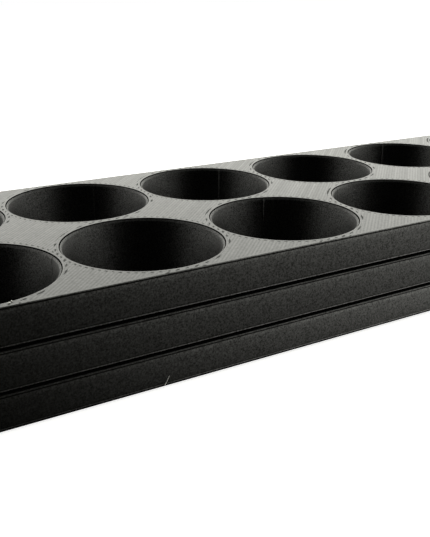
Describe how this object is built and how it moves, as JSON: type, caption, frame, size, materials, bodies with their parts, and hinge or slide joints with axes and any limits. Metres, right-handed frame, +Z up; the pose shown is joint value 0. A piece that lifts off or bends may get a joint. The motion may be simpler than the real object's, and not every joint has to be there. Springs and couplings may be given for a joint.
{
  "type": "paint jar rack",
  "caption": "Low black printed rack with two rows of round wells for small paint jars, in three stacked tiers.",
  "frame": {"origin": "middle of the underside", "axes": "+X along the rows of wells, +Y from the front row to the back row, +Z up"},
  "size_m": [0.2206, 0.0746, 0.0242],
  "materials": {
    "printed_black": "satin",
    "pin_black": "satin"
  },
  "bodies": {
    "base": {"base_tray": "printed_black", "lower_pin_front_left": "pin_black", "lower_pin_front_right": "pin_black", "lower_pin_back_left": "pin_black", "lower_pin_back_right": "pin_black"},
    "middle": {"middle_frame": "printed_black", "upper_pin_front_left": "pin_black", "upper_pin_front_right": "pin_black", "upper_pin_back_left": "pin_black", "upper_pin_back_right": "pin_black"},
    "top": {"top_frame": "printed_black"}
  },
  "joints": [
    {"name": "middle_frame_lift", "type": "slide", "parent": "base", "child": "middle", "axis": [0, 0, 1], "range_m": [0, 0.025]},
    {"name": "top_frame_lift", "type": "slide", "parent": "middle", "child": "top", "axis": [0, 0, 1], "range_m": [0, 0.025]}
  ]
}
